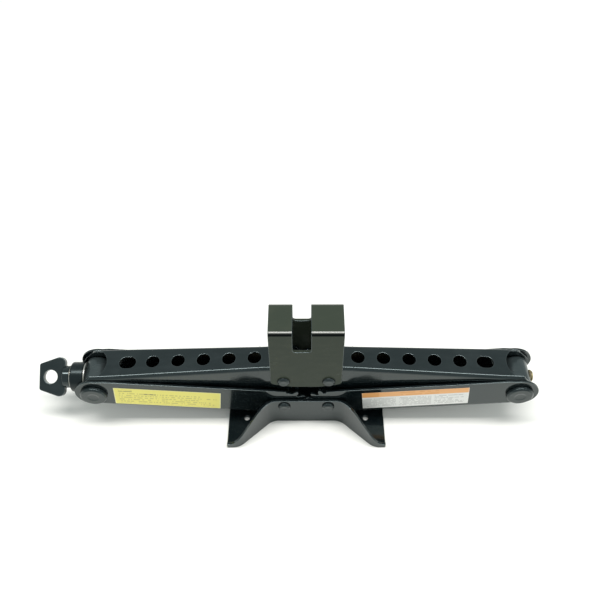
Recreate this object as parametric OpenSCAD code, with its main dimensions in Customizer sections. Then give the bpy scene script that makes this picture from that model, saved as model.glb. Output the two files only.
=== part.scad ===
// Scissor jack, closed. The screw runs along X, the lift is along Z, and -Y is the front.
// The origin is the middle of the underside of the base.

/* [Linkage] */
// Distance from an arm's inner pivot to its trunnion
arm_length = 163.8; // [140:0.1:190]
// Slope of the arms when the jack is closed, in degrees
closed_angle = 5.6; // [4.5:0.1:8]
// Slope of the arms when the jack is fully raised, in degrees
raised_angle = 60; // [50:1:64]
// Half the distance between the two inner pivots of a pair of arms
pivot_half_gap = 19; // [18:0.1:22]
// Height of the base pivots above the ground
base_pivot_z = 25; // [24:0.1:31]

/* [Sheet metal] */
// Thickness of the arms' sheet
arm_sheet = 2; // [1.8:0.1:2.4]
// Thickness of the saddle's sheet
saddle_sheet = 2.8; // [2.2:0.1:3.2]
// Thickness of the base's sheet
base_sheet = 2.5; // [2:0.1:3]
// Outer radius of the bends in the arms and the saddle
bend_radius = 3.2; // [2.6:0.1:4]
// Sideways gap between neighbouring sheets
side_gap = 0.4; // [0.3:0.05:0.8]

/* [Arms] */
// Half the width of an upper arm at the saddle
upper_inner_half = 12.5; // [11.5:0.1:14]
// Half the width of an upper arm at its trunnion
upper_outer_half = 15.4; // [15.2:0.1:18]
// Height of the upper web above the arm's line at the saddle
upper_web_inner = 14.2; // [10:0.1:15]
// Height of the upper web above the arm's line at the trunnion
upper_web_outer = 19.4; // [14:0.1:20]
// Depth of the upper arm's sides below its line
upper_edge = 13; // [10:0.1:13.2]
// Radius of the upper arm's ears
upper_ear_radius = 13.5; // [12:0.1:13.9]
// Depth of the lower web below the arm's line
lower_web = 16.5; // [16:0.1:18]
// Height of the lower arm's sides above its line
lower_edge = 18.3; // [17:0.1:20]
// Radius of the lower arm's ears
lower_ear_radius = 17.3; // [16.5:0.1:18]
// Radius of the notch that clears the trunnion at the end of each web
notch_radius = 17; // [15:0.1:19]

/* [Lightening holes] */
// Diameter of the holes in the upper webs
light_hole_d = 11.6; // [8:0.1:14]
// Distance from one hole to the next
light_hole_pitch = 21.7; // [18:0.1:22]
// Distance from the saddle pivot to the first hole
light_hole_first = 23.6; // [23:0.1:28]
// Number of holes in each upper arm
light_hole_count = 6; // [3:1:6]
// Length of the last, stretched hole
light_slot_length = 14.6; // [12:0.1:18]

/* [Gear teeth] */
// Teeth that a full gear would have
gear_teeth = 16; // [16:1:18]
// Pressure angle of the teeth, in degrees
gear_pressure = 25; // [22:1:26]
// Play on each side of a tooth
gear_play = 0.16; // [0.12:0.01:0.3]

/* [Saddle] */
// Width of the saddle along the jack
saddle_width = 60; // [56:1:70]
// Height of the saddle's top above its pivots
saddle_rise = 66; // [58:1:75]
// Depth of the saddle's sides below its pivots
saddle_drop = 8.4; // [8:0.1:10]
// Width of the slot for the sill flange
saddle_slot_width = 14.8; // [10:0.1:18]
// Depth of the slot in the front wall
saddle_slot_depth = 24.2; // [18:0.1:30]
// Depth of the slot in the rear wall
saddle_slot_rear_depth = 20.2; // [14:0.1:30]
// How far the slot's middle is off the saddle's middle
saddle_slot_offset = -3.4; // [-8:0.1:8]
// Radius of the corners at the bottom of the slot
saddle_slot_corner = 2.4; // [1:0.1:4]

/* [Base] */
// Half the length of the base along the jack
base_half_length = 69; // [66:0.5:80]
// Half the depth of the base at its wings
base_half_wing = 47; // [42:0.5:55]
// Height of the base's sides in the middle
base_side_height = 33; // [32:0.5:36]
// Height of the base's sides at the corners
base_tip_height = 5; // [4:0.5:12]
// Half the length of the straight middle of each side
base_straight_half = 24.5; // [23:0.5:30]
// Diameter of the holes in the wings
base_hole_d = 4.6; // [3:0.1:8]
// Half the distance between the wing holes along the jack
base_hole_x = 53; // [45:0.5:60]
// Half the distance between the wing holes across the jack
base_hole_y = 19; // [10:0.5:30]

/* [Pivot pins] */
// Radius of the pins' shanks
pin_radius = 4; // [3:0.1:4.6]
// Radius of the pins' heads
pin_head_radius = 5.5; // [5:0.1:6.5]
// Thickness of the pins' heads
pin_head = 2.5; // [1.5:0.1:3.2]
// Running clearance between a shaft and its hole
running = 0.06; // [0.02:0.01:0.1]

// Radius of the spacer tubes on the pins
spacer_radius = 6; // [5:0.1:6.5]

/* [Trunnions] */
// Radius of the trunnions' barrels
barrel_radius = 11.5; // [10.5:0.1:11.8]
// Radius of the trunnions' journals, which turn in the arms' ears
journal_radius = 9; // [7.5:0.1:9.6]
// Radius of the trunnions' heads
trunnion_head_radius = 11.2; // [11:0.1:13.2]
// Thickness of the trunnions' heads
trunnion_head = 3.6; // [3:0.1:6]
// Distance from the bearing trunnion's axis to its flat thrust face
thrust_face = 8.2; // [6.4:0.1:9]

/* [Screw and drive] */
// Radius of the screw
screw_radius = 5.5; // [4.5:0.1:6]
// How far the screw's end stands out from the nut trunnion's axis
screw_overhang = 14; // [13:0.5:25]
// Radius of the thrust bearing's cup
cup_radius = 13; // [12.4:0.1:13.3]
// Wall of the thrust bearing's cup
cup_wall = 1.3; // [1:0.1:1.6]
// Outside length of the cup
cup_length = 11.4; // [10.5:0.1:13]
// Rounding of the cup's closed end
cup_rounding = 3.4; // [2:0.1:4]
// Thickness of the trunnion's thrust washer
race_thickness = 1.4; // [1:0.1:2]
// Radius of the bearing balls
ball_radius = 2; // [1.6:0.1:2.2]
// Number of bearing balls
ball_count = 12; // [8:1:12]
// Radius of the ring of balls
ball_ring_radius = 9; // [8.8:0.1:9.2]
// Radius of the thin washer behind the hub
hub_washer_radius = 10.2; // [9:0.1:11]
// Thickness of that washer
hub_washer = 1.1; // [0.8:0.1:1.5]
// Radius of the drive hub
hub_radius = 9.6; // [7.8:0.1:10.2]
// Length of the drive hub
hub_length = 6.5; // [6:0.1:10]
// Depth of the slot in the hub that holds the eye plate
hub_slot = 1.5; // [1.5:0.1:4]

/* [Drive eye] */
// Thickness of the eye plate
eye_thickness = 5.5; // [4:0.1:6]
// Length of the eye plate
eye_length = 22.5; // [20:0.5:30]
// Half the height of the eye plate at its free end
eye_tip_half = 12; // [9:0.1:13]
// Half the height of the eye plate near the hub
eye_root_half = 17.6; // [15:0.1:20]
// Diameter of the hole for the crank's hook
eye_hole_d = 11.8; // [10:0.1:14]
// Distance from the hub end of the plate to the hole's centre
eye_hole_from_root = 12.8; // [12:0.1:14]
// Angle of the plate's normal above the horizontal, in degrees
eye_turn = 55; // [0:5:90]

/* [Labels] */
// Length of each label
label_length = 91; // [60:1:95]
// Height of each label
label_height = 24.5; // [15:0.5:25]
// Thickness of each label
label_thickness = 0.15; // [0.1:0.05:0.3]
// Distance from the base pivot to the middle of the left label
left_label_place = 101; // [95:0.5:105]
// Distance from the base pivot to the middle of the right label
right_label_place = 75.5; // [70:0.5:100]
// How far the left label lies below the arm's line
left_label_drop = 1; // [-3:0.1:1]
// How far the right label lies above the arm's line
right_label_rise = 1.2; // [-1:0.1:3]
// Height of the coloured heading on the right label
heading_height = 7.2; // [3:0.1:10]

/* [Hidden] */
$fn = 64;

black_paint = "#17191b";
zinc = "#c9c7bd";
yellow_zinc = "#b5a878";
flat_gap = 0.05; // between the flat on the trunnion and the ears
far = 60; // longer than any cut has to be

// Places that follow from the sizes above.
arm_rise = arm_length * sin(closed_angle);
trunnion_x = pivot_half_gap + arm_length * cos(closed_angle);
trunnion_z = base_pivot_z + arm_rise;
saddle_pivot_z = base_pivot_z + 2 * arm_rise;
saddle_top_z = saddle_pivot_z + saddle_rise;
lower_half = upper_outer_half + 0.3 + arm_sheet;
base_half_middle = lower_half + side_gap + base_sheet;
saddle_half_depth = upper_inner_half + side_gap + 0.1 + saddle_sheet;
trunnion_half = lower_half + 0.3;
barrel_half = upper_outer_half - arm_sheet - side_gap;
flat_half = upper_outer_half - arm_sheet - flat_gap;
base_spacer_half = lower_half - arm_sheet - side_gap;
saddle_spacer_half = upper_inner_half - arm_sheet - side_gap;
upper_web_slope = atan2(upper_web_outer - upper_web_inner, arm_length);

// The thrust stack, from the trunnion outwards along -X.
race_x = -(trunnion_x + thrust_face);
ball_x = race_x - race_thickness - ball_radius;
collar_x = ball_x - ball_radius;
cup_open_x = race_x - race_thickness - 0.3;
cup_closed_x = cup_open_x - cup_length;
hub_washer_x = cup_closed_x;
hub_x = hub_washer_x - hub_washer;
eye_root_x = hub_x - hub_length + hub_slot;
screw_start_x = hub_x - hub_length + hub_slot + 0.5;
screw_end_x = trunnion_x + screw_overhang;

// Gear teeth on the arms' inner ends.
gear_module = 2 * pivot_half_gap / gear_teeth;
gear_tip = pivot_half_gap + 0.88 * gear_module;
gear_root = pivot_half_gap - 1.2 * gear_module;
gear_base = pivot_half_gap * cos(gear_pressure);
gear_pitch_angle = 360 / gear_teeth;
tooth_half_angle = 90 / gear_teeth - gear_play / pivot_half_gap * 180 / PI;
tooth_steps = 5;

function involute(a) = tan(a) * 180 / PI - a;
function tooth_half(r) =
  tooth_half_angle + involute(gear_pressure) - (r > gear_base ? involute(acos(gear_base / r)) : 0);
function reversed(list) = [for (i = [len(list) - 1:-1:0]) list[i]];
function on_circle(r, a) = [r * cos(a), r * sin(a)];
// Points of a round stretch, from one angle to another.
function arc(centre, r, from, to, steps) =
  [for (i = [0:steps]) centre + on_circle(r, from + (to - from) * i / steps)];

// One gear tooth as a flat shape, pointing along the angle at. It starts well inside the root circle.
module tooth(at) {
  inside = gear_root - 1.5;
  radii = [for (i = [1:tooth_steps]) gear_root + (gear_tip - gear_root) * i / tooth_steps];
  polygon(concat(
    [on_circle(inside, at - tooth_half(inside))],
    [for (r = radii) on_circle(r, at - tooth_half(r))],
    [for (r = reversed(radii)) on_circle(r, at + tooth_half(r))],
    [on_circle(inside, at + tooth_half(inside))]
  ));
}

// The gear sector at an arm's inner end. A shift of half a pitch makes it mesh with its mirror image.
module gear_sector(shift) {
  circle(r = gear_root);
  first = 180 + closed_angle - gear_pitch_angle * (1 - shift);
  last = 180 + raised_angle + gear_pitch_angle * 0.75;
  for (at = [first:gear_pitch_angle:last]) tooth(at);
}

// Stands a flat shape, drawn in X and Z, up across the jack.
module across(half) {
  rotate([90, 0, 0]) translate([0, 0, -half]) linear_extrude(2 * half) children();
}

// What a bend of radius r takes off a square corner at the origin, along +X for a length.
module corner_cut(r, length) {
  rotate([90, 0, 90]) linear_extrude(length) difference() {
    translate([-r, -r]) square(r + 1);
    translate([-r, -r]) circle(r = r);
  }
}

// An open channel along X: rails lists [place, half width]. Its web's outer face is at z = 0,
// and its sides hang down to -depth.
module channel(rails, sheet, depth) {
  n = len(rails) - 1;
  outer = concat([for (p = rails) p], [for (i = [n:-1:0]) [rails[i][0], -rails[i][1]]]);
  inner = concat(
    [for (p = rails) [p[0], p[1] - sheet]],
    [for (i = [n:-1:0]) [rails[i][0], sheet - rails[i][1]]]
  );
  difference() {
    translate([0, 0, -depth]) linear_extrude(depth) polygon(outer);
    translate([0, 0, -depth - 1]) linear_extrude(depth + 1 - sheet) polygon(inner);
    for (i = [0:n - 1]) {
      run = rails[i + 1] - rails[i];
      turn = atan2(run[1], run[0]);
      for (side = [0, 1])
        mirror([0, side, 0])
          translate([rails[i][0], rails[i][1], 0])
            rotate([0, 0, turn])
              translate([i == 0 ? -1 : 0, 0, 0])
                corner_cut(bend_radius, norm(run) + (i == 0 ? 1 : 0) + (i == n - 1 ? 1 : 0));
    }
  }
}

// The side view of an arm: X runs from the inner pivot to the trunnion, and the web is at the top.
module arm_outline(shift, web_inner, web_outer, edge, ear_radius, ear_shift) {
  ear = [arm_length, 0] + ear_shift;
  gear_sector(shift);
  polygon([
    [-3, 0], [0, -edge], [arm_length - 9, -edge],
    ear + on_circle(ear_radius - 0.6, -80), ear, ear + on_circle(ear_radius, 48),
    [arm_length - 1, web_outer - 0.4], [arm_length - 4, web_outer + 4], [-3, web_inner + 5]
  ]);
  translate(ear) circle(r = ear_radius);
}

// An arm with its web at the top and its inner pivot at the origin. The pivot holes are true bores.
module arm(shift, rails, web_inner, web_outer, edge, ear_radius, ear_shift) {
  slope = atan2(web_outer - web_inner, arm_length);
  inner_half = rails[len(rails) - 1][1] - arm_sheet;
  difference() {
    intersection() {
      translate([0, 0, web_inner]) rotate([0, -slope, 0]) channel(rails, arm_sheet, far);
      across(far) arm_outline(shift, web_inner, web_outer, edge, ear_radius, ear_shift);
    }
    across(far) circle(r = pin_radius + running);
    translate([arm_length, 0, 0]) across(far) circle(r = journal_radius + running);
    // The notch in the web's outer end.
    intersection() {
      translate([arm_length + notch_radius - 14, 0, 4]) cylinder(r = notch_radius, h = far);
      translate([arm_length - far, 1 - inner_half, 0]) cube([2 * far, 2 * inner_half - 2, far]);
    }
  }
}

// A lower arm, drawn as the right one: it rises from the base pivot to the trunnion.
module lower_arm(shift) {
  rails = [[-30, lower_half], [arm_length + 30, lower_half]];
  translate([pivot_half_gap, 0, base_pivot_z])
    rotate([0, -closed_angle, 0])
      mirror([0, 0, 1])
        arm(shift, rails, lower_web, lower_web, lower_edge, lower_ear_radius, [-1.2, 0]);
}

// An upper arm, drawn as the right one: it falls from the saddle pivot to the trunnion.
module upper_arm(shift) {
  rails = [
    [-30, upper_inner_half], [19, upper_inner_half],
    [arm_length - 20, upper_outer_half], [arm_length + 30, upper_outer_half]
  ];
  translate([pivot_half_gap, 0, saddle_pivot_z])
    rotate([0, closed_angle, 0])
      difference() {
        arm(shift, rails, upper_web_inner, upper_web_outer, upper_edge, upper_ear_radius, [0, 0]);
        for (i = [0:light_hole_count - 1]) {
          stretch = i == light_hole_count - 1 ? (light_slot_length - light_hole_d) / 2 : 0;
          translate([light_hole_first + i * light_hole_pitch, 0, 0])
            rotate([0, -upper_web_slope, 0])
              light_hole(stretch);
        }
      }
}

// A round hole through an upper web, or one stretched along the arm.
module light_hole(stretch) {
  for (end = stretch > 0 ? [-1, 1] : [0])
    translate([end * stretch, 0, 4]) cylinder(d = light_hole_d, h = far);
  if (stretch > 0)
    translate([-stretch, -light_hole_d / 2, 4]) cube([2 * stretch, light_hole_d, far]);
}

module lower_arm_left() {
  color(black_paint) mirror([1, 0, 0]) lower_arm(0.5);
}

module lower_arm_right() {
  color(black_paint) lower_arm(0);
}

module upper_arm_left() {
  color(black_paint) mirror([1, 0, 0]) upper_arm(0.5);
}

module upper_arm_right() {
  color(black_paint) upper_arm(0);
}

// A slot that opens upwards through the saddle's top, reaching half to either side along Y.
module saddle_slot(depth, half) {
  left = saddle_slot_offset - saddle_slot_width / 2;
  low = saddle_top_z - depth;
  across(half) {
    translate([left, low + saddle_slot_corner]) square([saddle_slot_width, depth]);
    translate([left + saddle_slot_corner, low])
      square([saddle_slot_width - 2 * saddle_slot_corner, depth]);
    for (x = [left + saddle_slot_corner, left + saddle_slot_width - saddle_slot_corner])
      translate([x, low + saddle_slot_corner]) circle(r = saddle_slot_corner);
  }
}

// The saddle is an inverted channel with a slot in its top for the sill flange.
module saddle() {
  half = saddle_width / 2;
  bottom = saddle_pivot_z - saddle_drop;
  color(black_paint) difference() {
    intersection() {
      translate([-half, 0, saddle_top_z])
        channel([[0, saddle_half_depth], [saddle_width, saddle_half_depth]], saddle_sheet, 90);
      across(far) polygon([
        [-half, saddle_top_z + 1], [-half, bottom + 6], [-half + 2, bottom + 4],
        [-pivot_half_gap - 1, bottom + 1.6], [-pivot_half_gap + 8, bottom],
        [pivot_half_gap - 8, bottom], [pivot_half_gap + 1, bottom + 1.6],
        [half - 2, bottom + 4], [half, bottom + 6], [half, saddle_top_z + 1]
      ]);
    }
    saddle_slot(saddle_slot_rear_depth, far);
    translate([0, -saddle_half_depth + bend_radius, 0]) saddle_slot(saddle_slot_depth, bend_radius + 1);
    for (side = [-1, 1])
      translate([side * pivot_half_gap, 0, saddle_pivot_z])
        across(far) circle(r = pin_radius + running);
  }
}

// Outline of half of one long side of the base, from its middle to its corner.
base_turn = 43;
base_inner_bend = 14;
base_outer_bend = 14;
base_bend_steps = 8;
base_bend_end = [base_straight_half, base_half_middle]
  + base_inner_bend * [sin(base_turn), 1 - cos(base_turn)];
base_flare_y = base_half_wing - base_outer_bend * (1 - cos(base_turn));
base_flare_x = base_bend_end[0] + (base_flare_y - base_bend_end[1]) / tan(base_turn);
base_flare_end_x = base_flare_x + base_outer_bend * sin(base_turn);

// The same outline moved inwards by a distance, from the corner at -X to the corner at +X.
function base_quarter(in) = concat(
  arc([base_straight_half, base_half_middle + base_inner_bend], base_inner_bend + in,
    -90, -90 + base_turn, base_bend_steps),
  arc([base_flare_end_x, base_half_wing - base_outer_bend], base_outer_bend - in,
    90 + base_turn, 90, base_bend_steps),
  [[base_half_length, base_half_wing - in]]
);
function flip_x(list) = [for (p = list) [-p[0], p[1]]];
function flip_y(list) = [for (p = list) [p[0], -p[1]]];
function base_side(in) = concat(reversed(flip_x(base_quarter(in))), base_quarter(in));

// Side view of the base's long sides: high in the middle and low at the corners.
base_fall = 48;
base_fall_start = base_straight_half + 9;
base_fall_bend = 12;
base_tip_bend = 9;
base_fall_mid = [base_fall_start + base_fall_bend * sin(base_fall),
  base_side_height - base_fall_bend * (1 - cos(base_fall))];
base_tip_z = base_tip_height + base_tip_bend * (1 - cos(base_fall));
base_tip_x = base_fall_mid[0] + (base_fall_mid[1] - base_tip_z) / tan(base_fall);
base_profile = concat(
  arc([base_fall_start, base_side_height - base_fall_bend], base_fall_bend,
    90, 90 - base_fall, base_bend_steps),
  arc([base_tip_x + base_tip_bend * sin(base_fall), base_tip_height + base_tip_bend], base_tip_bend,
    -90 - base_fall, -90, base_bend_steps),
  [[base_half_length, base_tip_height]]
);

module base_plate() {
  color(black_paint) difference() {
    union() {
      linear_extrude(base_sheet)
        polygon(concat(base_side(0), reversed(flip_y(base_side(0)))));
      for (side = [0, 1])
        intersection() {
          mirror([0, side, 0]) linear_extrude(base_side_height + 1)
            polygon(concat(base_side(0), reversed(base_side(base_sheet))));
          across(2 * base_half_wing) polygon(concat(
            [[-base_half_length, 0]], reversed(flip_x(base_profile)),
            base_profile, [[base_half_length, 0]]
          ));
        }
    }
    for (side = [-1, 1])
      translate([side * pivot_half_gap, 0, base_pivot_z])
        across(2 * base_half_wing) circle(r = pin_radius + running);
    for (x = [-base_hole_x, base_hole_x])
      for (y = [-base_hole_y, base_hole_y])
        translate([x, y, -1]) cylinder(d = base_hole_d, h = base_sheet + 2);
  }
}

// A riveted pivot pin that lies across the jack, with a head at each end.
module pivot_pin(x, z, half) {
  translate([x, 0, z]) {
    across(half) circle(r = pin_radius);
    for (side = [0, 1])
      mirror([0, side, 0])
        translate([0, half + pin_head, 0])
          rotate([90, 0, 0]) pin_head_shape();
  }
}

module pin_head_shape() {
  chamfer = 0.7;
  rotate_extrude() polygon([
    [0, 0], [pin_head_radius - chamfer, 0], [pin_head_radius, chamfer],
    [pin_head_radius, pin_head], [0, pin_head]
  ]);
}

module base_pivot_pin_left() {
  color(black_paint) pivot_pin(-pivot_half_gap, base_pivot_z, base_half_middle);
}

module base_pivot_pin_right() {
  color(black_paint) pivot_pin(pivot_half_gap, base_pivot_z, base_half_middle);
}

module saddle_pivot_pin_left() {
  color(black_paint) pivot_pin(-pivot_half_gap, saddle_pivot_z, saddle_half_depth);
}

module saddle_pivot_pin_right() {
  color(black_paint) pivot_pin(pivot_half_gap, saddle_pivot_z, saddle_half_depth);
}

// A tube on a pivot pin, between the sides of the arm that turns on it.
module pin_spacer(x, z, half) {
  translate([x, 0, z]) across(half) difference() {
    circle(r = spacer_radius);
    circle(r = pin_radius + running);
  }
}

module base_pin_spacer_left() {
  color(zinc) pin_spacer(-pivot_half_gap, base_pivot_z, base_spacer_half);
}

module base_pin_spacer_right() {
  color(zinc) pin_spacer(pivot_half_gap, base_pivot_z, base_spacer_half);
}

module saddle_pin_spacer_left() {
  color(zinc) pin_spacer(-pivot_half_gap, saddle_pivot_z, saddle_spacer_half);
}

module saddle_pin_spacer_right() {
  color(zinc) pin_spacer(pivot_half_gap, saddle_pivot_z, saddle_spacer_half);
}

// A trunnion: a barrel between the ears, journals in the ears and a head outside each lower ear.
module trunnion() {
  chamfer = 0.8;
  rotate([90, 0, 0]) rotate_extrude() polygon([
    [0, -trunnion_half - trunnion_head], [trunnion_head_radius - chamfer, -trunnion_half - trunnion_head],
    [trunnion_head_radius, -trunnion_half - trunnion_head + chamfer],
    [trunnion_head_radius, -trunnion_half], [journal_radius, -trunnion_half],
    [journal_radius, -barrel_half], [barrel_radius, -barrel_half],
    [barrel_radius, barrel_half], [journal_radius, barrel_half],
    [journal_radius, trunnion_half], [trunnion_head_radius, trunnion_half],
    [trunnion_head_radius, trunnion_half + trunnion_head - chamfer],
    [trunnion_head_radius - chamfer, trunnion_half + trunnion_head], [0, trunnion_half + trunnion_head]
  ]);
}

// A ring or rod along X, starting at x and running towards -X.
module ring(x, length, outer, bore) {
  translate([x, 0, trunnion_z]) rotate([0, -90, 0]) difference() {
    cylinder(r = outer, h = length);
    translate([0, 0, -1]) cylinder(r = bore, h = length + 2);
  }
}

module bearing_trunnion() {
  color(black_paint) difference() {
    translate([-trunnion_x, 0, trunnion_z]) trunnion();
    translate([race_x - far, -flat_half, trunnion_z - far])
      cube([far, 2 * flat_half, 2 * far]);
    translate([-trunnion_x - far, 0, trunnion_z]) rotate([0, 90, 0])
      cylinder(r = screw_radius + running, h = 2 * far);
  }
}

module nut_trunnion() {
  color(black_paint) difference() {
    translate([trunnion_x, 0, trunnion_z]) trunnion();
    translate([trunnion_x - far, 0, trunnion_z]) rotate([0, 90, 0])
      cylinder(r = screw_radius + running, h = 2 * far);
  }
}

module lead_screw() {
  color(yellow_zinc) translate([screw_start_x, 0, trunnion_z]) rotate([0, 90, 0])
    cylinder(r = screw_radius, h = screw_end_x - screw_start_x);
}

module thrust_race() {
  color(zinc) ring(race_x, race_thickness, cup_radius - 0.2, screw_radius + running);
}

module thrust_balls() {
  color(zinc) for (i = [0:ball_count - 1])
    translate([ball_x, 0, trunnion_z]) rotate([i * 360 / ball_count, 0, 0])
      translate([0, ball_ring_radius, 0]) sphere(r = ball_radius - 0.02);
}

// The collar that the balls run on. Its chamfer clears the rounding inside the cup.
module thrust_collar() {
  length = collar_x - cup_closed_x - cup_wall;
  outer = cup_radius - cup_wall - 0.2;
  chamfer = cup_rounding - cup_wall;
  bore = screw_radius + running;
  color(zinc) translate([cup_closed_x + cup_wall, 0, trunnion_z]) rotate([0, 90, 0])
    rotate_extrude() polygon([
      [bore, 0], [outer - chamfer, 0], [outer, chamfer], [outer, length], [bore, length]
    ]);
}

// A drawn cup with a rounded closed end, open towards the trunnion.
module thrust_cup() {
  inner_round = cup_rounding - cup_wall;
  color(black_paint) translate([cup_closed_x, 0, trunnion_z]) rotate([0, 90, 0]) rotate_extrude()
    difference() {
      union() {
        translate([0, cup_rounding]) square([cup_radius, cup_length - cup_rounding]);
        square([cup_radius - cup_rounding, cup_length]);
        translate([cup_radius - cup_rounding, cup_rounding]) circle(r = cup_rounding);
      }
      translate([-1, cup_wall]) {
        translate([0, inner_round]) square([cup_radius - cup_wall + 1, cup_length]);
        square([cup_radius - cup_rounding + 1, cup_length]);
        translate([cup_radius - cup_rounding + 1, inner_round]) circle(r = inner_round);
      }
      translate([-cup_radius - far, -far]) square([cup_radius + far + screw_radius + running, 2 * far]);
    }
}

module hub_washer() {
  color(zinc) ring(hub_washer_x, hub_washer, hub_washer_radius, screw_radius + running);
}

// The eye plate's outline: X runs from the hub end, at 0, towards -X.
module eye_outline() {
  root_corner = 5.2;
  tip_corner = 2.4;
  shoulder = 5.3;
  slant = atan2(eye_root_half - eye_tip_half, eye_length - shoulder);
  quarter = concat(
    arc([-root_corner, eye_root_half - root_corner - 0.6], root_corner, 0, 90 + slant, 8),
    arc([-eye_length + tip_corner, eye_tip_half - tip_corner], tip_corner, 90 + slant, 180, 5)
  );
  polygon(concat(quarter, reversed(flip_y(quarter))));
}

// Puts a plate that is drawn flat, with its middle plane at z = 0, on the screw's axis at the eye's angle.
module on_eye_plane() {
  translate([eye_root_x, 0, trunnion_z]) rotate([90 - eye_turn, 0, 0]) children();
}

module drive_eye() {
  color(black_paint) on_eye_plane() difference() {
    translate([0, 0, -eye_thickness / 2]) linear_extrude(eye_thickness) eye_outline();
    translate([-eye_hole_from_root, 0, -far]) cylinder(d = eye_hole_d, h = 2 * far);
  }
}

module drive_hub() {
  bore_length = hub_x - screw_start_x;
  slot = eye_thickness + 0.04;
  color(black_paint) difference() {
    translate([hub_x, 0, trunnion_z]) rotate([0, -90, 0]) cylinder(r = hub_radius, h = hub_length);
    translate([hub_x + 1, 0, trunnion_z]) rotate([0, -90, 0])
      cylinder(r = screw_radius + running, h = bore_length + 1);
    on_eye_plane() translate([-far, -far, -slot / 2]) cube([far, 2 * far, slot]);
  }
}

// A label on the front of a lower arm, drawn for the right arm.
module label(place, rise, height) {
  translate([pivot_half_gap, -lower_half - label_thickness, base_pivot_z])
    rotate([0, -closed_angle, 0])
      translate([place - label_length / 2, 0, rise - height / 2])
        cube([label_length, label_thickness, height]);
}

module data_label() {
  color("#e8df5a") mirror([1, 0, 0]) label(left_label_place, -left_label_drop, label_height);
}

module caution_label() {
  color("#f2f0ea")
    label(right_label_place, right_label_rise - heading_height / 2, label_height - heading_height);
}

module caution_heading() {
  color("#e0762c")
    label(right_label_place, right_label_rise + (label_height - heading_height) / 2, heading_height);
}

base_plate();
base_pivot_pin_left();
base_pivot_pin_right();
base_pin_spacer_left();
base_pin_spacer_right();
lower_arm_left();
lower_arm_right();
upper_arm_left();
upper_arm_right();
saddle();
saddle_pivot_pin_left();
saddle_pivot_pin_right();
saddle_pin_spacer_left();
saddle_pin_spacer_right();
bearing_trunnion();
nut_trunnion();
lead_screw();
thrust_race();
thrust_balls();
thrust_collar();
thrust_cup();
hub_washer();
drive_hub();
drive_eye();
data_label();
caution_label();
caution_heading();
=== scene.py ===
"""Looks of a folded scissor jack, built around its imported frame.

Lengths are in metres. X runs along the lead screw, Z is up, and -Y is the labelled front.
"""

import logging
import math
from dataclasses import dataclass, field
from enum import Enum
from typing import Callable, Sequence

import bmesh
import bpy
from mathutils import Matrix, Vector


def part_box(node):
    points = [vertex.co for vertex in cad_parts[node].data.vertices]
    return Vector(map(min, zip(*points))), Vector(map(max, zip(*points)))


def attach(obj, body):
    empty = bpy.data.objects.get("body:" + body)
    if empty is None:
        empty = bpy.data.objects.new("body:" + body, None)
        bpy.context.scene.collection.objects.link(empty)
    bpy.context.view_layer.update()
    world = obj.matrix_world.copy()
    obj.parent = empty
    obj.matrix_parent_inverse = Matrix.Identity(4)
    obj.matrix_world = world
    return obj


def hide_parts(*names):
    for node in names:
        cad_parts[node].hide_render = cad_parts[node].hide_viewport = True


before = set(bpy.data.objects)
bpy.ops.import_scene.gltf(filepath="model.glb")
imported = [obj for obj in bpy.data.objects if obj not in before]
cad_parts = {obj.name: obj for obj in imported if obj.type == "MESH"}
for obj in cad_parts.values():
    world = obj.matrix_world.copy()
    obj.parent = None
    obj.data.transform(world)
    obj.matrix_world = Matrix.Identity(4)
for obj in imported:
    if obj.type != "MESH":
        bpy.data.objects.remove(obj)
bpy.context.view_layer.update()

log = logging.getLogger("scissor_jack")
MM = 0.001
Colour = tuple[float, float, float]
Number = float | int
Point = tuple[float, float]
Object, Material, Socket = bpy.types.Object, bpy.types.Material, bpy.types.NodeSocket
Input = Socket | Number | str


class Body(Enum):
    """The moving bodies of the jack."""

    BASE = "base"
    LEFT_LOWER = "left_lower_arm"
    RIGHT_LOWER = "right_lower_arm"
    LEFT_UPPER = "left_upper_arm"
    RIGHT_UPPER = "right_upper_arm"
    SADDLE = "saddle"
    LEFT_TRUNNION = "left_trunnion"
    RIGHT_TRUNNION = "right_trunnion"
    SCREW = "screw"


class Slot(Enum):
    """The record's material slots, passed with each piece but not set on it."""

    BLACK = "black_paint"
    ZINC = "zinc"
    YELLOW_ZINC = "yellow_zinc"


# ---------------------------------------------------------------- shader trees


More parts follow.
